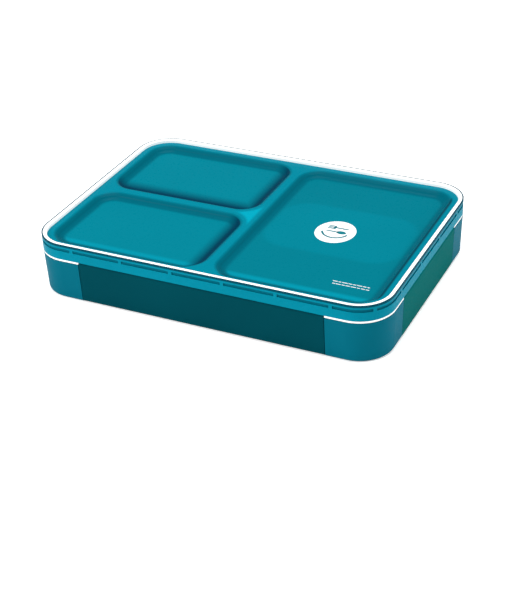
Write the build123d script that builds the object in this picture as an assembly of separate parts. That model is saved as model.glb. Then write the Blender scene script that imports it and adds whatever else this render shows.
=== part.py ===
from build123d import *
import os

# Slim four-latch lunch box. Millimetres, +Z up, +X along the long side, +Y to the back.
# The origin is on the table, under the middle of the box.

# Overall sizes
box_length = 210.0
box_width = 147.0
box_height = 34.5
corner_radius = 20.0

# Clearances
moving_gap = 0.3
end_gap = 0.4
pin_clearance = 0.05

# Lid
skirt_height = 9.0
skirt_wall = 2.0
land_drop = 1.9
land_thickness = 1.5
pad_margin = 8.2
pad_recess = 3.0
pad_slope = 1.8
pad_radius = 12.0
pad_floor_fillet = 4.0
pad_under_round = 2.0
pad_mouth_width = 1.7
pad_mouth_depth = 1.3
pad_wall = 1.4
land_width = 8.0
divider_x = 0.5
divider_y = 0.5

# White ring set into the top of the lid
ring_inset = 0.8
ring_width = 2.1
ring_depth = 2.1
ring_round = 0.5

# Dashed groove round the skirt
groove_drop = 2.95
groove_height = 1.7
groove_depth = 0.5
bridge_width = 2.0
long_bridge_pitch = 30.8
short_bridge_pitch = 30.0

# Seal under the lid
seal_web = 0.8
seal_width = 2.2
seal_height = 2.0
branch_width = 2.6
lining_thickness = 1.0
lip_height = 1.2
lip_inset = 0.15

# Container
wall = 1.6
wall_inset = 5.2
floor_thickness = 1.6
divider_thickness = 2.0
compartment_fillet = 4.0
side_draft = 0.8
corner_shell = 1.8
base_round = 2.0
foot_inset = 14.0
foot_recess = 0.6

# Latches and their hinges
long_latch_opening = 147.0
short_latch_opening = 83.0
latch_thickness = 1.8
latch_foot = 0.6
latch_bevel = 0.7
barrel_radius = 1.9
barrel_skin = 0.4
pin_radius = 0.7
lug_wall = 0.45
lug_width = 8.0
leg_thickness = 0.8
long_lug_pitch = 56.0
short_lug_pitch = 50.0
hook_drop = 8.9
hook_height = 1.2
hook_reach = 4.6
ledge_reach = 3.6
ledge_height = 1.8
hook_shortening = 30.0

# Levels above the table
skirt_bottom = box_height - skirt_height
land_top = box_height - land_drop
land_bottom = land_top - land_thickness
pad_floor = land_top - pad_recess
seal_bottom = land_bottom - seal_height
rim_top = seal_bottom - moving_gap
lip_bottom = skirt_bottom - lip_height
corner_top = lip_bottom - moving_gap
axis_height = skirt_bottom - moving_gap - barrel_radius
axis_inset = barrel_radius
hook_top = axis_height - hook_drop
compartment_inset = wall_inset + wall


def slab(inset, low, high):
    """Upright prism with the box's rounded outline moved inwards by the inset."""
    outline = RectangleRounded(
        box_length - 2 * inset, box_width - 2 * inset, corner_radius - inset
    )
    return extrude(Pos(0, 0, low) * outline, amount=high - low)


def band(outer_inset, inner_inset, low, high):
    """Closed band between two insets of the outline."""
    return slab(outer_inset, low, high) - slab(inner_inset, low - 1, high + 1)


def bar(x_low, x_high, y_low, y_high, z_low, z_high):
    """Plain block between six faces."""
    size = Box(x_high - x_low, y_high - y_low, z_high - z_low)
    return Pos((x_low + x_high) / 2, (y_low + y_high) / 2, (z_low + z_high) / 2) * size


def cell_outlines(outer_inset, gap_at_dividers):
    """Centre and size of the three cells left between the outline and the two dividers."""
    x_low = -box_length / 2 + outer_inset
    x_high = box_length / 2 - outer_inset
    y_low = -box_width / 2 + outer_inset
    y_high = box_width / 2 - outer_inset
    left_end = divider_x - gap_at_dividers / 2
    right_start = divider_x + gap_at_dividers / 2
    front_end = divider_y - gap_at_dividers / 2
    back_start = divider_y + gap_at_dividers / 2
    spans = [
        (x_low, left_end, back_start, y_high),
        (x_low, left_end, y_low, front_end),
        (right_start, x_high, y_low, y_high),
    ]
    cells = []
    for low_x, high_x, low_y, high_y in spans:
        centre = ((low_x + high_x) / 2, (low_y + high_y) / 2)
        cells.append((centre, high_x - low_x, high_y - low_y))
    return cells


def tapered_cell(cell, growth_low, growth_high, radius, low, high):
    """Cell-shaped block whose outline grows by one amount at its foot and another at its top."""
    centre, size_x, size_y = cell
    foot = RectangleRounded(size_x + 2 * growth_low, size_y + 2 * growth_low, radius + growth_low)
    top = RectangleRounded(size_x + 2 * growth_high, size_y + 2 * growth_high, radius + growth_high)
    place = Pos(centre[0], centre[1], 0)
    return loft([place * Pos(0, 0, low) * foot, place * Pos(0, 0, high) * top])


def corner_zones(back_off, low, high):
    """Four blocks over the corners, between the ends of the latch openings."""
    x_start = long_latch_opening / 2 + back_off
    y_start = short_latch_opening / 2 + back_off
    reach_x = box_length / 2 + 1
    reach_y = box_width / 2 + 1
    zones = bar(x_start, reach_x, y_start, reach_y, low, high)
    zones += bar(-reach_x, -x_start, y_start, reach_y, low, high)
    zones += bar(x_start, reach_x, -reach_y, -y_start, low, high)
    zones += bar(-reach_x, -x_start, -reach_y, -y_start, low, high)
    return zones


def side_frame(turn):
    """Half depth, latch opening and hinge lug pitch of the side that faces the given turn."""
    if turn in (0, 180):
        return box_width / 2, long_latch_opening, long_lug_pitch
    return box_length / 2, short_latch_opening, short_lug_pitch


def lug_centres(turn):
    """Places of the hinge lugs along one side: three on a long side, two on a short one."""
    pitch = side_frame(turn)[2]
    if turn in (0, 180):
        return [-pitch, 0, pitch]
    return [-pitch / 2, pitch / 2]


def rod(radius, length, centre_x, half_depth):
    """Round bar on a hinge axis of the side that faces -Y."""
    shape = Rot(0, 90, 0) * Cylinder(radius, length)
    return Pos(centre_x, -half_depth + axis_inset, axis_height) * shape


def hook_length(turn):
    """Length shared by a latch's hook and the ledge it catches."""
    return side_frame(turn)[1] - hook_shortening


def make_latch(turn):
    """Flap with a round top barrel, short hinge pins and a hook along its back."""
    half_depth, opening, _ = side_frame(turn)
    span = opening - 2 * end_gap
    face = -half_depth
    foot_inset_here = side_draft * (corner_top - latch_foot) / corner_top
    profile = Polyline(
        (face, axis_height),
        (face + foot_inset_here, latch_foot + latch_bevel),
        (face + foot_inset_here + latch_bevel, latch_foot),
        (face + foot_inset_here + latch_thickness, latch_foot),
        (face + latch_thickness, axis_height),
        close=True,
    )
    flap = extrude(Plane.YZ * make_face(profile), amount=span / 2, both=True)
    flap += rod(barrel_radius, span, 0, half_depth)
    hook_half = hook_length(turn) / 2
    flap += bar(
        -hook_half, hook_half,
        face + latch_thickness, face + hook_reach,
        hook_top - hook_height, hook_top,
    )
    slot_width = lug_width + 2 * moving_gap
    pocket_radius = barrel_radius - barrel_skin
    for centre in lug_centres(turn):
        flap -= rod(pocket_radius, slot_width, centre, half_depth)
        flap -= bar(
            centre - slot_width / 2, centre + slot_width / 2,
            face + axis_inset - moving_gap, face + 2 * barrel_radius + moving_gap,
            axis_height - barrel_radius - moving_gap, axis_height + barrel_radius + moving_gap,
        )
        flap += rod(pin_radius, slot_width + moving_gap, centre, half_depth)
    return Rot(0, 0, turn) * flap


def make_lugs(turn):
    """Hinge lugs of one side: clips that hang behind the latch barrel and hold its pins."""
    half_depth = side_frame(turn)[0]
    face = -half_depth
    leg_back = face + wall_inset - moving_gap
    leg_front = leg_back - leg_thickness
    bore_radius = pin_radius + pin_clearance
    lug_radius = bore_radius + lug_wall
    neck_low = axis_height - lug_radius + pin_clearance
    lugs = []
    for centre in lug_centres(turn):
        low = centre - lug_width / 2
        high = centre + lug_width / 2
        clip = rod(lug_radius, lug_width, centre, half_depth)
        clip += bar(low, high, face + axis_inset, leg_back, neck_low, neck_low + leg_thickness * 0.9)
        clip += bar(low, high, leg_front, leg_back, neck_low, skirt_bottom + 1.0)
        clip += bar(low, high, face + skirt_wall / 2, leg_back, skirt_bottom, skirt_bottom + 1.0)
        clip -= rod(bore_radius, lug_width + 1, centre, half_depth)
        clip -= bar(
            low, high,
            face + axis_inset - pin_radius * 0.7, face + axis_inset + pin_radius * 0.7,
            axis_height, axis_height + lug_radius,
        )
        lugs.append(Rot(0, 0, turn) * clip)
    return lugs


def make_groove():
    """Shallow groove round the skirt, broken by short bridges."""
    middle = box_height - groove_drop
    low = middle - groove_height / 2
    high = middle + groove_height / 2
    groove = slab(-1, low, high) - slab(groove_depth, low - 1, high + 1)
    half_bridge = bridge_width / 2
    reach = box_length
    for step in (-2.5, -1.5, -0.5, 0.5, 1.5, 2.5):
        centre = step * long_bridge_pitch
        groove -= bar(centre - half_bridge, centre + half_bridge, -reach, reach, low - 1, high + 1)
    for step in (-1.5, -0.5, 0.5, 1.5):
        centre = step * short_bridge_pitch
        groove -= bar(-reach, reach, centre - half_bridge, centre + half_bridge, low - 1, high + 1)
    corner_x = box_length / 2 - corner_radius
    corner_y = box_width / 2 - corner_radius
    for side_x in (-1, 1):
        for side_y in (-1, 1):
            bridge = Box(4 * corner_radius, bridge_width, groove_height + 2)
            turn = 45 * side_x * side_y
            groove -= Pos(side_x * corner_x, side_y * corner_y, middle) * Rot(0, 0, turn) * bridge
    return groove


def make_lid():
    """Clear lid: skirt, flat land, three sunken pads, ring seat, groove and hinge lugs."""
    lid = slab(0, skirt_bottom, box_height) - slab(skirt_wall, skirt_bottom - 1, land_bottom)
    ring_seat = box_height - ring_depth
    lid -= slab(ring_inset + ring_width, land_top, box_height + 1)
    lid -= band(ring_inset, ring_inset + ring_width, ring_seat, box_height + 1)
    lid -= make_groove()
    pads = cell_outlines(pad_margin, land_width)
    slope_at_foot = -pad_slope * pad_mouth_depth / pad_recess
    mouth_steps = [
        (slope_at_foot, 0.55 * pad_mouth_width, pad_mouth_depth),
        (0.12 * pad_mouth_width, pad_mouth_width, 0.42 * pad_mouth_depth),
    ]
    for pad in pads:
        cup = tapered_cell(
            pad, pad_wall - pad_slope, pad_wall, pad_radius, pad_floor - pad_wall, land_bottom + 0.2
        )
        lid += fillet(cup.faces().sort_by(Axis.Z)[0].edges(), pad_under_round)
    for pad in pads:
        hollow = tapered_cell(pad, -pad_slope, 0, pad_radius, pad_floor, land_top)
        hollow = fillet(hollow.faces().sort_by(Axis.Z)[0].edges(), pad_floor_fillet)
        lid -= hollow
        for foot_growth, top_growth, depth in mouth_steps:
            lid -= tapered_cell(pad, foot_growth, top_growth, pad_radius, land_top - depth, land_top)
    for turn in (0, 90, 180, 270):
        for clip in make_lugs(turn):
            lid += clip
    return lid


def make_top_ring():
    """White ring that stands in the seat along the top edge of the lid."""
    ring = band(ring_inset, ring_inset + ring_width, box_height - ring_depth, box_height)
    top_edges = ring.faces().sort_by(Axis.Z)[-1].edges()
    inner_edges = []
    for edge in top_edges:
        middle = edge.position_at(0.5)
        near_x = abs(middle.X) > box_length / 2 - ring_inset - ring_width / 2
        near_y = abs(middle.Y) > box_width / 2 - ring_inset - ring_width / 2
        on_corner = edge.geom_type == GeomType.CIRCLE and edge.radius > corner_radius - ring_inset - 0.5
        if not (near_x or near_y or on_corner):
            inner_edges.append(edge)
    return fillet(inner_edges, ring_round)


def make_lid_seal():
    """White seal under the lid: rim strip, branches over the dividers, lips at the corners."""
    seal_inset = pad_margin - pad_wall - 0.2 - seal_width
    seal = band(seal_inset, seal_inset + seal_width, seal_bottom, land_bottom)
    seal += band(skirt_wall, seal_inset + 0.5, land_bottom - seal_web, land_bottom)
    reach_x = box_length / 2 - seal_inset - seal_width / 2
    reach_y = box_width / 2 - seal_inset - seal_width / 2
    half_branch = branch_width / 2
    seal += bar(
        divider_x - half_branch, divider_x + half_branch, -reach_y, reach_y, seal_bottom, land_bottom
    )
    seal += bar(
        -reach_x, divider_x, divider_y - half_branch, divider_y + half_branch, seal_bottom, land_bottom
    )
    lining_inner = skirt_wall + lining_thickness
    corners = corner_zones(0, 0, box_height)
    seal += band(skirt_wall, lining_inner, skirt_bottom, land_bottom) & corners
    seal += band(lip_inset, lining_inner, lip_bottom, skirt_bottom) & corners
    return seal


def make_corners():
    """Four hollow corner pieces with the outer shape of the box, open underneath."""
    top = Pos(0, 0, corner_top) * RectangleRounded(box_length, box_width, corner_radius)
    foot = RectangleRounded(
        box_length - 2 * side_draft, box_width - 2 * side_draft, corner_radius - side_draft
    )
    block = loft([foot, top])
    block = fillet(block.faces().sort_by(Axis.Z)[0].edges(), base_round)
    block = block & corner_zones(0, -1, box_height)
    hollow = slab(corner_shell + side_draft, -1, corner_top - corner_shell)
    hollow = hollow & corner_zones(corner_shell, -1, corner_top - corner_shell)
    return block - (hollow - slab(wall_inset, -2, box_height))


def make_container():
    """Three-compartment tub with rim, dividers, corner pieces and hook ledges."""
    tub = slab(wall_inset, 0, rim_top)
    tub = fillet(tub.faces().sort_by(Axis.Z)[0].edges(), base_round / 2)
    tub += make_corners()
    for turn in (0, 90, 180, 270):
        half_depth = side_frame(turn)[0]
        ledge_half = hook_length(turn) / 2
        ledge_low = hook_top + moving_gap
        ledge = bar(
            -ledge_half, ledge_half,
            -half_depth + ledge_reach, -half_depth + wall_inset + 0.2,
            ledge_low, ledge_low + ledge_height,
        )
        tub += Rot(0, 0, turn) * ledge
    for cell in cell_outlines(compartment_inset, divider_thickness):
        radius = corner_radius - compartment_inset
        hollow = tapered_cell(cell, 0, 0, radius, floor_thickness, rim_top + 1)
        hollow = fillet(hollow.faces().sort_by(Axis.Z)[0].edges(), compartment_fillet)
        tub -= hollow
    tub -= slab(foot_inset, -1, foot_recess)
    return tub


def save(shape, node):
    """Write one node as its own STEP file."""
    solids = shape.solids()
    whole = solids[0] if len(solids) == 1 else Compound(solids)
    whole.label = node
    export_step(whole, os.path.join("parts", node + ".step"))
    box = whole.bounding_box()
    print(node, len(solids), round(whole.volume, 1), box.min, box.max, whole.is_valid)


os.makedirs("parts", exist_ok=True)
save(make_container(), "container")
save(make_lid(), "lid")
save(make_top_ring(), "top_ring")
save(make_lid_seal(), "lid_seal")
save(make_latch(0), "latch_front")
save(make_latch(90), "latch_right")
save(make_latch(180), "latch_back")
save(make_latch(270), "latch_left")
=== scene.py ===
import bpy
import math
from mathutils import Matrix, Vector


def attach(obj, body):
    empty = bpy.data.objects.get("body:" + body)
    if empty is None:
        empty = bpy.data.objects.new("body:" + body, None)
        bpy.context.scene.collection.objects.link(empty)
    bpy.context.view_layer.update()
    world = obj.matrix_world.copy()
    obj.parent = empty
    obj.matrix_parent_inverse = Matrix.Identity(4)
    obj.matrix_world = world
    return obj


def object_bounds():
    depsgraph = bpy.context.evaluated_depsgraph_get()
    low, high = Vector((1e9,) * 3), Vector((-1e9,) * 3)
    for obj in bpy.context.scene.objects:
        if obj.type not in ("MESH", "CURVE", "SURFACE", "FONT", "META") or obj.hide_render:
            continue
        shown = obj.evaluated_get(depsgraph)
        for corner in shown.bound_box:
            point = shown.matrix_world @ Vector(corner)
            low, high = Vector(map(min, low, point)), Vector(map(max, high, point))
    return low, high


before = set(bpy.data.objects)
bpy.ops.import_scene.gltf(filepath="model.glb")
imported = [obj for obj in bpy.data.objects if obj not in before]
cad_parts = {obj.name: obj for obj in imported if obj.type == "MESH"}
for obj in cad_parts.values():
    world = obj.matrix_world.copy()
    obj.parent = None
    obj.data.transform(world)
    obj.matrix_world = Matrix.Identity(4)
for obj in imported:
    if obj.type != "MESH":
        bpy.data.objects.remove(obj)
cad_low, cad_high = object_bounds()

# Every length is in metres, and a pair of lengths for a zone of the lid is where its fade starts and ends
MM = 0.001

# Heights on the box
BOX_TOP = cad_high.z
PAD_DROP = 4.9 * MM
PAD_LEVEL = BOX_TOP - PAD_DROP

# Sunken pads of the lid, and like every plan box here given as (low x, high x, low y, high y)
PADS = [
    (-0.0968, -0.0035, 0.0045, 0.0653),
    (-0.0968, -0.0035, -0.0653, -0.0035),
    (0.0045, 0.0968, -0.0653, 0.0653),
]
PAD_RADIUS = 12.0 * MM
PAD_FRONT = PADS[1][2]
PAD_RIGHT = PADS[2][1]

# Sides of the ribs that face the small pads: the long rib's left side and the short rib's back side
RIB_X = PADS[0][1]
RIB_Y = PADS[0][2]

# Pad slopes and the painted edge shade on and beside them, the flat land outside the pads, and the
# painted shadow line in that land along the front and the right
SLOPE_WIDTH = 3.2 * MM
EDGE_SHADE_REACH = 5.5 * MM
LAND = (0.4 * MM, 2.2 * MM)
LAND_SHADOW_LINE = (-0.6 * MM, 0.3 * MM)
LAND_SHADOW_LINE_END = (1.2 * MM, 2.4 * MM)

# Painted highlight: a pale crown where the ribs meet
CROWN_HIGHLIGHT = (3.4 * MM, 5.2 * MM)
CROWN_HIGHLIGHT_REACH = (8.0 * MM, 14.0 * MM)

# Paler rounded patch in the floor of the large pad, and the gleam along the front pads
PALE_PATCH = (0.010, 0.091, -0.022, 0.031)
PALE_PATCH_RADIUS = 16.0 * MM
PALE_PATCH_SOFT = 1.6 * MM
GLEAM_BAND = (7.2 * MM, 9.6 * MM)
GLEAM_SIDE = (3.0 * MM, 5.0 * MM)

# Shade in the small pads beside the long rib and behind the short one
SHADE_BESIDE = (3.5 * MM, 11.0 * MM)
SHADE_BEHIND = (5.5 * MM, 15.0 * MM)
SHADE_POWER = 1.2

# Outline of the lid, its upright skirt, the painted shade on the strip outside the ring, and the painted
# shade in the skirt's groove
OUTLINE = (-0.105, 0.105, -0.0735, 0.0735)
OUTLINE_RADIUS = 20.0 * MM
SKIRT_INSET = (0.1 * MM, 0.25 * MM)
RIM_SHADE_INSET = (0.9 * MM, 1.1 * MM)
RIM_SHADE_DROP = (0.8 * MM, 1.2 * MM)
GROOVE_SHADE_INSET = (0.15 * MM, 0.3 * MM)
GROOVE_SHADE_LIMIT = 0.8 * MM
GROOVE_TOP = 2.1 * MM
GROOVE_FOOT = 3.8 * MM

# Moulded plastic: colour drift, orange-peel, and hairlines as (turn in degrees, scale)
DRIFT_SCALE = 25.0
DRIFT_DETAIL = 2.0
PEEL_SCALE = 900.0
PEEL_DETAIL = 3.0
NOISE_RANGE = (0.3, 0.7)
ROUGH_SPREAD = 0.15
HAIRLINES = ((25.0, 30.0), (-50.0, 45.0))
HAIRLINE_STRETCH = 60.0
HAIRLINE_DETAIL = 2.0
HAIRLINE_RANGE = (0.66, 0.74)
PLASTIC_IOR = 1.49

# Colours of the lid's zones, which lie over the low pad's colour in the order of the names below; the
# edge, rib, groove and rim shades and the shadow line are painted shade, and the crown highlight and the
# gleam are painted light
LID_TINTS = {
    "Low Pad": (0.0, 0.160, 0.212, 1.0),
    "Panel": (0.0, 0.180, 0.240, 1.0),
    "Gleam": (0.0, 0.235, 0.320, 1.0),
    "Edge Shade": (0.0, 0.108, 0.152, 1.0),
    "Shade": (0.0, 0.035, 0.070, 1.0),
    "Land": (0.0, 0.195, 0.270, 1.0),
    "Crown Highlight": (0.0, 0.305, 0.415, 1.0),
    "Line": (0.0, 0.052, 0.080, 1.0),
    "Skirt": (0.0, 0.220, 0.312, 1.0),
    "Groove Shade": (0.0, 0.125, 0.180, 1.0),
    "Rim Shade": (0.0, 0.060, 0.092, 1.0),
}
PAD_ZONE_NAMES = ("Panel", "Gleam", "Edge Shade", "Shade", "Land", "Crown Highlight", "Line")
RIM_ZONE_NAMES = ("Skirt", "Groove Shade", "Rim Shade")

# How far the lid's colour drifts towards the colour of the painted edge shade
DRIFT_AMOUNT = 0.08

# Printed badge and its smile of short bars
PRINT_THICKNESS = 0.05 * MM
BADGE_CENTRE = Vector((0.0480, 0.0036, 0.0))
BADGE_RADIUS = 11.6 * MM
BADGE_STRETCH = 1.08
BADGE_SIDES = 96
BADGE_BEVEL = 0.4 * PRINT_THICKNESS
BADGE_BEVEL_STEPS = 2
MARK_LEVEL = PAD_LEVEL + PRINT_THICKNESS
SMILE_STEPS = 15
SMILE_HALF_DEGREES = 66.0
SMILE_RADIUS = 7.9 * MM
SMILE_LIFT = 1.2 * MM
SMILE_BAR_LENGTH = 1.4 * MM
SMILE_WIDTH = 1.15 * MM

# Fork and spoon of the badge: each one's middle, and its bars as (along, across, length, width)
HANDLE_WIDTH = 1.0 * MM
FORK_MIDDLE = Vector((0.0, 4.8 * MM, 0.0))
FORK_BARS = [(2.0 * MM, 0.0, 8.0 * MM, HANDLE_WIDTH), (-2.0 * MM, 0.0, 1.2 * MM, 3.6 * MM)]
FORK_BARS += [(-4.2 * MM, across, 3.6 * MM, 0.8 * MM) for across in (-1.4 * MM, 0.0, 1.4 * MM)]
SPOON_MIDDLE = Vector((0.0, 0.2 * MM, 0.0))
SPOON_BARS = [(-2.0 * MM, 0.0, 7.0 * MM, HANDLE_WIDTH)]
BOWL_ALONG = 3.4 * MM
BOWL_HALF = (2.8 * MM, 1.7 * MM)
BOWL_SIDES = 32

# Two rows of printed dashes, given by their lengths
CAPTION_START = Vector((0.0670, -0.0458, 0.0))
CAPTION_STEP = Vector((0.6 * MM, -2.4 * MM, 0.0))
DASH_HEIGHT = 0.5 * MM
DASH_GAP = 0.5 * MM
UPPER_DASHES = [length * MM for length in (2.6, 1.6, 3.1, 2.2, 1.5, 2.9, 1.9, 1.4)]
LOWER_DASHES = [length * MM for length in (1.5, 2.8, 1.7, 2.4, 3.0, 1.6, 2.3, 1.8)]

# Camera, with its lens and sensor in millimetres
VIEW_TURN = math.radians(26.81)
VIEW_RISE = math.radians(31.58)
VIEW_ROLL = math.radians(-2.673)
CAMERA_PLACE = Vector((0.30675, -0.61493, 0.36233 + BOX_TOP))
LENS_LENGTH = 81.19
SENSOR_WIDTH = 36.0
NEAREST_SEEN = 0.01
FARTHEST_SEEN = 20.0

# Floor, world, and lamps as (name, place, size, power), all aimed at the foot of the box
FLOOR_SIZE = 8.0
FLOOR_GAP = 0.1 * MM
FLOOR_GRAIN = 40.0
FLOOR_TINTS = ((0.93, 0.93, 0.93, 1), (0.95, 0.95, 0.95, 1))
FLOOR_ROUGHNESS = 0.9
FLOOR_LIFT = 0.4
WORLD_LIGHT = 0.2
WORLD_BACKDROP = 1.0
LAMP_TARGET = Vector((0.0, 0.0, 0.0))
LAMPS = [
    ("overhead softbox", (0.0, 0.1, 1.5), 1.2, 20.0),
    ("front softbox", (-0.8, -1.3, 1.0), 1.0, 25.0),
    ("right softbox", (1.4, 0.6, 0.5), 0.8, 14.0),
]


# ---------- node helpers ----------

def feed(tree, socket, value):
    """Gives a socket a value, or a link from another node's output."""
    if isinstance(value, bpy.types.NodeSocket):
        tree.links.new(value, socket)
    else:
        socket.default_value = value


def fill(tree, node, inputs):
    """Feeds a node's inputs by name."""
    for name, value in inputs.items():
        feed(tree, node.inputs[name.replace("_", " ")], value)
    return node


def add_node(tree, kind, **inputs):
    """Node with its named inputs filled in or linked."""
    return fill(tree, tree.nodes.new(kind), inputs)


def use_group(tree, group, **inputs):
    """Places a shared effect in a material."""
    node = tree.nodes.new("ShaderNodeGroup")
    node.node_tree = group
    return fill(tree, node, inputs)


def math_step(tree, operation, first, second):
    """One arithmetic node."""
    node = tree.nodes.new("ShaderNodeMath")
    node.operation = operation
    feed(tree, node.inputs[0], first)
    feed(tree, node.inputs[1], second)
    return node.outputs[0]


def vector_step(tree, operation, *values):
    """One vector arithmetic node."""
    node = tree.nodes.new("ShaderNodeVectorMath")
    node.operation = operation
    for socket, value in zip(node.inputs, values):
        feed(tree, socket, value)
    return node.outputs["Value"] if operation == "LENGTH" else node.outputs["Vector"]


def product(tree, *values):
    """Several values multiplied together."""
    total = values[0]
    for value in values[1:]:
        total = math_step(tree, "MULTIPLY", total, value)
    return total


def stretch(tree, value, low, high, new_low, new_high):
    """Maps a value from one range to another."""
    node = add_node(
        tree, "ShaderNodeMapRange",
        Value=value, From_Min=low, From_Max=high, To_Min=new_low, To_Max=new_high,
    )
    return node.outputs["Result"]


def fade_in(tree, value, start, end):
    """Rises from 0 to 1 as a value goes from start to end."""
    return stretch(tree, value, start, end, 0.0, 1.0)


def fade_out(tree, value, start, end):
    """Falls from 1 to 0 as a value goes from start to end."""
    return stretch(tree, value, start, end, 1.0, 0.0)


def blend_colour(tree, factor, first, second):
    """Mixes two colours."""
    node = tree.nodes.new("ShaderNodeMix")
    node.data_type = "RGBA"
    for socket, value in zip((node.inputs[0], node.inputs[6], node.inputs[7]), (factor, first, second)):
        feed(tree, socket, value)
    return node.outputs[2]


def object_place(tree):
    """Where a point lies on the box."""
    return tree.nodes.new("ShaderNodeTexCoord").outputs["Object"]


def seen_directly(tree):
    """1 where the camera looks straight at a surface, and 0 where only light reaches it."""
    return tree.nodes.new("ShaderNodeLightPath").outputs["Is Camera Ray"]


def start_group(name, inputs, outputs):
    """Empty node group with its sockets, and its input and output nodes."""
    group = bpy.data.node_groups.new(name, "ShaderNodeTree")
    for socket_name, socket_type, default in inputs:
        socket = group.interface.new_socket(socket_name, in_out="INPUT", socket_type=socket_type)
        socket.default_value = default
    for socket_name, socket_type in outputs:
        group.interface.new_socket(socket_name, in_out="OUTPUT", socket_type=socket_type)
    entry = group.nodes.new("NodeGroupInput")
    leave = group.nodes.new("NodeGroupOutput")
    return group, entry, leave


# ---------- shared effects ----------

def make_moulded_skin():
    """Colour that drifts slightly and the faint orange-peel of moulded plastic."""
    group, entry, leave = start_group(
        "moulded skin",
        [
            ("Tint", "NodeSocketColor", (0.5, 0.5, 0.5, 1.0)),
            ("Deep Tint", "NodeSocketColor", (0.4, 0.4, 0.4, 1.0)),
            ("Drift Scale", "NodeSocketFloat", DRIFT_SCALE),
            ("Peel Scale", "NodeSocketFloat", PEEL_SCALE),
            ("Rough Low", "NodeSocketFloat", 0.25),
            ("Rough High", "NodeSocketFloat", 0.4),
        ],
        [("Colour", "NodeSocketColor"), ("Roughness", "NodeSocketFloat"), ("Height", "NodeSocketFloat")],
    )
    place = object_place(group)
    values = entry.outputs
    drift = add_node(
        group, "ShaderNodeTexNoise",
        Vector=place, Scale=values["Drift Scale"], Detail=DRIFT_DETAIL,
    )
    peel = add_node(
        group, "ShaderNodeTexNoise",
        Vector=place, Scale=values["Peel Scale"], Detail=PEEL_DETAIL,
    )
    amount = fade_in(group, drift.outputs[0], *NOISE_RANGE)
    colour = blend_colour(group, amount, values["Tint"], values["Deep Tint"])
    rough = stretch(group, peel.outputs[0], *NOISE_RANGE, values["Rough Low"], values["Rough High"])
    group.links.new(colour, leave.inputs["Colour"])
    group.links.new(rough, leave.inputs["Roughness"])
    group.links.new(peel.outputs[0], leave.inputs["Height"])
    return group


def make_handling_marks():
    """Very fine hairlines that polished plastic picks up, as an added roughness."""
    group, entry, leave = start_group(
        "handling marks",
        [("Amount", "NodeSocketFloat", 0.1), ("Roughness", "NodeSocketFloat", 0.2)],
        [("Roughness", "NodeSocketFloat")],
    )
    place = object_place(group)
    lines = []
    for turn, scale in HAIRLINES:
        mapping = add_node(
            group, "ShaderNodeMapping", Vector=place,
            Rotation=(0.0, 0.0, math.radians(turn)), Scale=(scale, scale * HAIRLINE_STRETCH, scale),
        )
        noise = add_node(
            group, "ShaderNodeTexNoise",
            Vector=mapping.outputs[0], Scale=1.0, Detail=HAIRLINE_DETAIL,
        )
        lines.append(fade_in(group, noise.outputs[0], *HAIRLINE_RANGE))
    total = math_step(group, "MAXIMUM", *lines)
    added = math_step(group, "MULTIPLY", total, entry.outputs["Amount"])
    rough = math_step(group, "ADD", added, entry.outputs["Roughness"])
    group.links.new(rough, leave.inputs["Roughness"])
    return group


def plan_distance(tree, place, box, radius):
    """Signed distance in plan to a rounded rectangle given by its sides, and below 0 inside it."""
    low_x, high_x, low_y, high_y = box
    centre = ((low_x + high_x) / 2, (low_y + high_y) / 2, 0.0)
    straight = ((high_x - low_x) / 2 - radius, (high_y - low_y) / 2 - radius, 0.0)
    local = vector_step(tree, "SUBTRACT", place, centre)
    flat = vector_step(tree, "MULTIPLY", local, (1.0, 1.0, 0.0))
    size = vector_step(tree, "ABSOLUTE", flat)
    reach = vector_step(tree, "SUBTRACT", size, straight)
    outer = vector_step(tree, "LENGTH", vector_step(tree, "MAXIMUM", reach, (0.0, 0.0, 0.0)))
    split = add_node(tree, "ShaderNodeSeparateXYZ", Vector=reach)
    inner = math_step(tree, "MAXIMUM", split.outputs[0], split.outputs[1])
    inner = math_step(tree, "MINIMUM", inner, 0.0)
    return math_step(tree, "SUBTRACT", math_step(tree, "ADD", outer, inner), radius)


def rib_shade(tree, distance, start, end):
    """Shade that is full up to one distance beside a rib and gone at another."""
    fade = math_step(tree, "POWER", fade_out(tree, distance, start, end), SHADE_POWER)
    return math_step(tree, "MULTIPLY", fade, math_step(tree, "GREATER_THAN", distance, 0.0))


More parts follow.
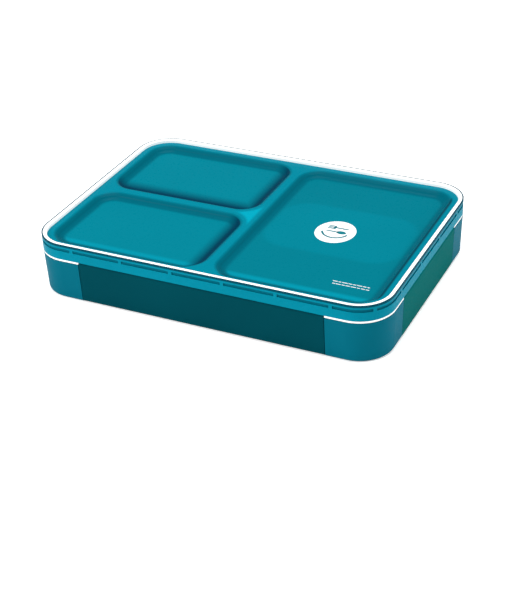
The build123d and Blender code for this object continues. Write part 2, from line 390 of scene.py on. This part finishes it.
def make_pad_zones():
    """Zones of the lid's top: pale patch, gleam, painted edge shade on the pads, shade by the ribs, land,
    painted crown highlight and painted shadow line.
    """
    group, entry, leave = start_group(
        "pad zones",
        [("Slope Width", "NodeSocketFloat", SLOPE_WIDTH)],
        [(name, "NodeSocketFloat") for name in PAD_ZONE_NAMES],
    )
    place = object_place(group)
    split = add_node(group, "ShaderNodeSeparateXYZ", Vector=place)
    along, across = split.outputs[0], split.outputs[1]
    nearest, *others = [plan_distance(group, place, box, PAD_RADIUS) for box in PADS]
    for distance in others:
        nearest = math_step(group, "MINIMUM", nearest, distance)
    depth = math_step(group, "MULTIPLY", nearest, -1.0)
    in_pad = math_step(group, "LESS_THAN", nearest, LAND[0])
    left_side = math_step(group, "LESS_THAN", along, RIB_X)

    land = fade_in(group, nearest, *LAND)
    # Painted shade: darker on the pad slopes, fading out a little way into the pads
    edge_shade = fade_out(group, depth, entry.outputs["Slope Width"], EDGE_SHADE_REACH)

    beside = rib_shade(group, math_step(group, "SUBTRACT", RIB_X, along), *SHADE_BESIDE)
    behind = rib_shade(group, math_step(group, "SUBTRACT", across, RIB_Y), *SHADE_BEHIND)
    behind = product(group, behind, left_side)
    shade = product(group, math_step(group, "MAXIMUM", beside, behind), in_pad)

    middle = plan_distance(group, place, (0.0, 0.0, 0.0, 0.0), 0.0)
    # Painted highlight: paler where the ribs meet
    crown_highlight = product(
        group, fade_in(group, nearest, *CROWN_HIGHLIGHT), fade_out(group, middle, *CROWN_HIGHLIGHT_REACH)
    )

    pale_patch = plan_distance(group, place, PALE_PATCH, PALE_PATCH_RADIUS)
    pale_patch = fade_out(group, pale_patch, -PALE_PATCH_SOFT, PALE_PATCH_SOFT)
    pale_patch = math_step(group, "MAXIMUM", pale_patch, left_side)

    inward = math_step(group, "SUBTRACT", across, PAD_FRONT)
    gleam = product(
        group, fade_out(group, inward, *GLEAM_BAND), in_pad, fade_in(group, depth, *GLEAM_SIDE)
    )

    right_beyond = math_step(group, "SUBTRACT", along, PAD_RIGHT)
    front_beyond = math_step(group, "SUBTRACT", PAD_FRONT, across)
    beyond = math_step(group, "MAXIMUM", right_beyond, front_beyond)
    # Painted shadow: a dark line on the land just outside the pads along the front and the right
    shadow_line = product(
        group,
        fade_in(group, beyond, *LAND_SHADOW_LINE),
        fade_out(group, beyond, *LAND_SHADOW_LINE_END),
        fade_out(group, nearest, *LAND_SHADOW_LINE_END),
    )
    for name, value in zip(PAD_ZONE_NAMES, (pale_patch, gleam, edge_shade, shade, land, crown_highlight, shadow_line)):
        group.links.new(value, leave.inputs[name])
    return group


def make_rim_zones():
    """Upright skirt of the lid, painted shade in the floor of its groove, and painted shade on the strip
    outside the ring.
    """
    group, entry, leave = start_group(
        "rim zones",
        [("Top Height", "NodeSocketFloat", BOX_TOP)],
        [(name, "NodeSocketFloat") for name in RIM_ZONE_NAMES],
    )
    place = object_place(group)
    split = add_node(group, "ShaderNodeSeparateXYZ", Vector=place)
    drop = math_step(group, "SUBTRACT", entry.outputs["Top Height"], split.outputs[2])
    outline = plan_distance(group, place, OUTLINE, OUTLINE_RADIUS)
    inset = math_step(group, "MULTIPLY", outline, -1.0)
    skirt = fade_out(group, inset, *SKIRT_INSET)
    # Painted shade: darker on the floor of the skirt's groove
    groove_shade = product(
        group,
        fade_in(group, inset, *GROOVE_SHADE_INSET),
        math_step(group, "LESS_THAN", inset, GROOVE_SHADE_LIMIT),
        math_step(group, "GREATER_THAN", drop, GROOVE_TOP),
        math_step(group, "LESS_THAN", drop, GROOVE_FOOT),
    )
    # Painted shade: darker on the strip outside the ring, near the lid's top
    rim = product(group, fade_out(group, inset, *RIM_SHADE_INSET), fade_out(group, drop, *RIM_SHADE_DROP))
    for name, value in zip(RIM_ZONE_NAMES, (skirt, groove_shade, rim)):
        group.links.new(value, leave.inputs[name])
    return group


MOULDED_SKIN = make_moulded_skin()
HANDLING_MARKS = make_handling_marks()
PAD_ZONES = make_pad_zones()
RIM_ZONES = make_rim_zones()


# ---------- materials ----------

def start_material(name):
    """New node material with its principled shader."""
    material = bpy.data.materials.new(name)
    material.use_nodes = True
    tree = material.node_tree
    tree.nodes.clear()
    shader = tree.nodes.new("ShaderNodeBsdfPrincipled")
    output = tree.nodes.new("ShaderNodeOutputMaterial")
    tree.links.new(shader.outputs[0], output.inputs["Surface"])
    return material, tree, shader


def mould_surface(tree, shader, tint, deep_tint, rough, peel_depth, marks, gloss):
    """Drifting colour, uneven gloss, hairlines and orange-peel of a moulded surface."""
    skin = use_group(
        tree, MOULDED_SKIN, Tint=tint, Deep_Tint=deep_tint,
        Rough_Low=rough * (1 - ROUGH_SPREAD), Rough_High=rough * (1 + ROUGH_SPREAD),
    )
    worn = use_group(tree, HANDLING_MARKS, Amount=marks, Roughness=skin.outputs["Roughness"])
    bump = add_node(tree, "ShaderNodeBump", Height=skin.outputs["Height"], Distance=peel_depth)
    tree.links.new(skin.outputs["Colour"], shader.inputs["Base Color"])
    tree.links.new(worn.outputs["Roughness"], shader.inputs["Roughness"])
    tree.links.new(bump.outputs[0], shader.inputs["Normal"])
    shader.inputs["IOR"].default_value = PLASTIC_IOR
    shader.inputs["Specular IOR Level"].default_value = gloss


def moulded_plastic(name, tint, deep_tint, rough, peel_depth, marks, gloss=0.3, painted_glow=0.0):
    """Moulded plastic in one colour, which may glow a little as painted light, though it is no lamp."""
    material, tree, shader = start_material(name)
    mould_surface(tree, shader, tint, deep_tint, rough, peel_depth, marks, gloss)
    shader.inputs["Emission Color"].default_value = tint
    shader.inputs["Emission Strength"].default_value = painted_glow
    return material


def lid_plastic(name, rough, peel_depth, marks, gloss):
    """Opaque plastic in the tones of a clear lid, each zone of it in its own colour, with painted shade,
    painted shadow and painted highlights among the zones.
    """
    material, tree, shader = start_material(name)
    pads = use_group(tree, PAD_ZONES, Slope_Width=SLOPE_WIDTH)
    rim = use_group(tree, RIM_ZONES, Top_Height=BOX_TOP)
    tint = LID_TINTS["Low Pad"]
    for zones, zone_names in ((pads, PAD_ZONE_NAMES), (rim, RIM_ZONE_NAMES)):
        for zone in zone_names:
            tint = blend_colour(tree, zones.outputs[zone], tint, LID_TINTS[zone])
    deeper = blend_colour(tree, DRIFT_AMOUNT, tint, LID_TINTS["Edge Shade"])
    mould_surface(tree, shader, tint, deeper, rough, peel_depth, marks, gloss)
    return material


lid_teal = lid_plastic("clear teal lid", rough=0.3, peel_depth=0.003 * MM, marks=0.005, gloss=0.02)
tub_teal = moulded_plastic(
    "teal tub", (0.0, 0.132, 0.190, 1), (0.0, 0.125, 0.181, 1),
    rough=0.4, peel_depth=0.008 * MM, marks=0.04, gloss=0.02,
)
latch_teal = moulded_plastic(
    "deep teal latch", (0.0, 0.057, 0.076, 1), (0.0, 0.053, 0.071, 1),
    rough=0.5, peel_depth=0.01 * MM, marks=0.04, gloss=0.01,
)
# Painted light: the side latches are the same plastic as the deep teal latches, painted lighter and
# greener as if lit from the side
side_latch_lit_teal = moulded_plastic(
    "side latch teal with painted light", (0.0, 0.124, 0.120, 1), (0.0, 0.118, 0.114, 1),
    rough=0.55, peel_depth=0.01 * MM, marks=0.04, gloss=0.01,
)
# Painted light: the white rubber glows a little so that its shaded faces stay white
white_rubber = moulded_plastic(
    "white seal rubber", (0.90, 0.90, 0.89, 1), (0.87, 0.87, 0.86, 1),
    rough=0.5, peel_depth=0.01 * MM, marks=0.05, painted_glow=0.22,
)
print_white = moulded_plastic(
    "white print", (0.92, 0.92, 0.92, 1), (0.89, 0.89, 0.89, 1),
    rough=0.45, peel_depth=0.002 * MM, marks=0.05,
)
print_teal = moulded_plastic(
    "teal print", (0.0, 0.17, 0.21, 1), (0.0, 0.15, 0.19, 1),
    rough=0.45, peel_depth=0.002 * MM, marks=0.05,
)

FINISH = {
    "lid": lid_teal,
    "container": tub_teal,
    "top_ring": white_rubber,
    "lid_seal": white_rubber,
    "latch_front": latch_teal,
    "latch_right": side_latch_lit_teal,
    "latch_back": latch_teal,
    "latch_left": side_latch_lit_teal,
}
for node_name, finish in FINISH.items():
    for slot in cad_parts[node_name].material_slots:
        slot.material = finish


# ---------- printed badge ----------

def deselect_all():
    """Leaves nothing selected and no edit mode."""
    if bpy.context.object and bpy.context.object.mode != "OBJECT":
        bpy.ops.object.mode_set(mode="OBJECT")
    bpy.ops.object.select_all(action="DESELECT")


def settle(piece, name, finish, body):
    """Moves a finished piece's place into its mesh, names it and lets it ride on its body."""
    piece.name = name
    piece.data.name = name
    bpy.ops.object.transform_apply(location=True, rotation=True, scale=True)
    piece.data.materials.clear()
    piece.data.materials.append(finish)
    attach(piece, body)


def printed_disc(name, centre, radius, low, finish):
    """Thin printed disc with a softened rim."""
    deselect_all()
    bpy.ops.mesh.primitive_cylinder_add(
        vertices=BADGE_SIDES, radius=radius, depth=PRINT_THICKNESS,
        location=(centre.x, centre.y, low + PRINT_THICKNESS / 2),
    )
    disc = bpy.context.object
    disc.scale.y = BADGE_STRETCH
    bpy.ops.object.transform_apply(location=False, rotation=False, scale=True)
    bpy.ops.object.modifier_add(type="BEVEL")
    disc.modifiers[-1].width = BADGE_BEVEL
    disc.modifiers[-1].segments = BADGE_BEVEL_STEPS
    bpy.ops.object.modifier_apply(modifier=disc.modifiers[-1].name)
    settle(disc, name, finish, "lid")


def printed_bar(centre, size_x, size_y, turn, low):
    """Thin straight bar of print, turned about its middle."""
    bpy.ops.mesh.primitive_cube_add(size=1.0, location=(centre.x, centre.y, low + PRINT_THICKNESS / 2))
    piece = bpy.context.object
    piece.scale = (size_x, size_y, PRINT_THICKNESS)
    piece.rotation_euler = (0.0, 0.0, turn)
    bpy.ops.object.transform_apply(location=True, rotation=True, scale=True)
    return piece


def printed_bowl(centre, half_x, half_y, low):
    """Thin oval of print."""
    bpy.ops.mesh.primitive_cylinder_add(
        vertices=BOWL_SIDES, radius=1.0, depth=PRINT_THICKNESS,
        location=(centre.x, centre.y, low + PRINT_THICKNESS / 2),
    )
    piece = bpy.context.object
    piece.scale = (half_x, half_y, 1.0)
    bpy.ops.object.transform_apply(location=True, rotation=True, scale=True)
    return piece


def join_pieces(pieces, name, finish, body):
    """Joins printed shapes into one piece."""
    deselect_all()
    for piece in pieces:
        piece.select_set(True)
    bpy.context.view_layer.objects.active = pieces[0]
    bpy.ops.object.join()
    settle(bpy.context.object, name, finish, body)


def smile_bars(low):
    """Short bars laid end to end along an arc."""
    bars = []
    for index in range(SMILE_STEPS):
        degrees = -SMILE_HALF_DEGREES + 2 * SMILE_HALF_DEGREES * index / (SMILE_STEPS - 1)
        turn = math.radians(degrees)
        place = BADGE_CENTRE + Vector((math.sin(turn), -math.cos(turn), 0.0)) * SMILE_RADIUS
        place.y += SMILE_LIFT
        bars.append(printed_bar(place, SMILE_BAR_LENGTH, SMILE_WIDTH, turn, low))
    return bars


def cutlery_shapes(low):
    """A fork above a spoon, both lying along the badge."""
    shapes = []
    for middle, bars in ((FORK_MIDDLE, FORK_BARS), (SPOON_MIDDLE, SPOON_BARS)):
        for along, across, length, width in bars:
            place = BADGE_CENTRE + middle + Vector((along, across, 0.0))
            shapes.append(printed_bar(place, length, width, 0.0, low))
    bowl_place = BADGE_CENTRE + SPOON_MIDDLE + Vector((BOWL_ALONG, 0.0, 0.0))
    shapes.append(printed_bowl(bowl_place, *BOWL_HALF, low))
    return shapes


def caption_dashes(start, lengths, low):
    """Row of small dashes of unequal length."""
    dashes = []
    cursor = 0.0
    for length in lengths:
        place = start + Vector((cursor + length / 2, 0.0, 0.0))
        dashes.append(printed_bar(place, length, DASH_HEIGHT, 0.0, low))
        cursor += length + DASH_GAP
    return dashes


printed_disc("badge_disc", BADGE_CENTRE, BADGE_RADIUS, PAD_LEVEL, print_white)
join_pieces(smile_bars(MARK_LEVEL) + cutlery_shapes(MARK_LEVEL), "badge_mark", print_teal, "lid")
join_pieces(
    caption_dashes(CAPTION_START, UPPER_DASHES, PAD_LEVEL)
    + caption_dashes(CAPTION_START + CAPTION_STEP, LOWER_DASHES, PAD_LEVEL),
    "caption_dashes", print_white, "lid",
)


# ---------- camera ----------

def make_camera():
    """Camera at the chosen viewpoint."""
    back = Vector((
        math.sin(VIEW_TURN) * math.cos(VIEW_RISE),
        -math.cos(VIEW_TURN) * math.cos(VIEW_RISE),
        math.sin(VIEW_RISE),
    ))
    level_right = Vector((math.cos(VIEW_TURN), math.sin(VIEW_TURN), 0.0))
    level_up = back.cross(level_right)
    right = level_right * math.cos(VIEW_ROLL) + level_up * math.sin(VIEW_ROLL)
    up = back.cross(right)
    camera_data = bpy.data.cameras.new("view")
    camera_data.lens = LENS_LENGTH
    camera_data.sensor_width = SENSOR_WIDTH
    camera_data.clip_start = NEAREST_SEEN
    camera_data.clip_end = FARTHEST_SEEN
    camera = bpy.data.objects.new("view", camera_data)
    bpy.context.collection.objects.link(camera)
    turn = Matrix((right, up, back)).transposed()
    camera.matrix_world = Matrix.Translation(CAMERA_PLACE) @ turn.to_4x4()
    bpy.context.scene.camera = camera


make_camera()


# ---------- floor and light ----------

def make_floor():
    """Plain pale floor, lifted a little where it is seen directly."""
    deselect_all()
    bpy.ops.mesh.primitive_plane_add(size=FLOOR_SIZE, location=(0.0, 0.0, cad_low.z - FLOOR_GAP))
    floor = bpy.context.object
    floor.name = "studio_floor"
    material, tree, shader = start_material("pale floor")
    grain = add_node(tree, "ShaderNodeTexNoise", Scale=FLOOR_GRAIN)
    colour = blend_colour(tree, grain.outputs[0], *FLOOR_TINTS)
    tree.links.new(colour, shader.inputs["Base Color"])
    shader.inputs["Roughness"].default_value = FLOOR_ROUGHNESS
    shader.inputs["Specular IOR Level"].default_value = 0.0
    lift = blend_colour(tree, seen_directly(tree), (0.0, 0.0, 0.0, 1), (1.0, 1.0, 1.0, 1))
    tree.links.new(lift, shader.inputs["Emission Color"])
    shader.inputs["Emission Strength"].default_value = FLOOR_LIFT
    floor.data.materials.append(material)


def soft_light(name, place, size, power):
    """Large soft lamp aimed at the foot of the box."""
    lamp = bpy.data.lights.new(name, "AREA")
    lamp.shape = "SQUARE"
    lamp.size = size
    lamp.energy = power
    holder = bpy.data.objects.new(name, lamp)
    bpy.context.collection.objects.link(holder)
    holder.location = place
    aim = LAMP_TARGET - Vector(place)
    holder.rotation_mode = "QUATERNION"
    holder.rotation_quaternion = aim.to_track_quat("-Z", "Y")


def set_world():
    """Even white surround, dimmer as a light than as a backdrop."""
    world = bpy.data.worlds.new("studio")
    world.use_nodes = True
    tree = world.node_tree
    background = tree.nodes["Background"]
    background.inputs[0].default_value = (1.0, 1.0, 1.0, 1.0)
    brightness = stretch(tree, seen_directly(tree), 0.0, 1.0, WORLD_LIGHT, WORLD_BACKDROP)
    tree.links.new(brightness, background.inputs[1])
    bpy.context.scene.world = world


make_floor()
for lamp_name, lamp_place, lamp_size, lamp_power in LAMPS:
    soft_light(lamp_name, lamp_place, lamp_size, lamp_power)
set_world()
bpy.context.scene.view_settings.view_transform = "Standard"
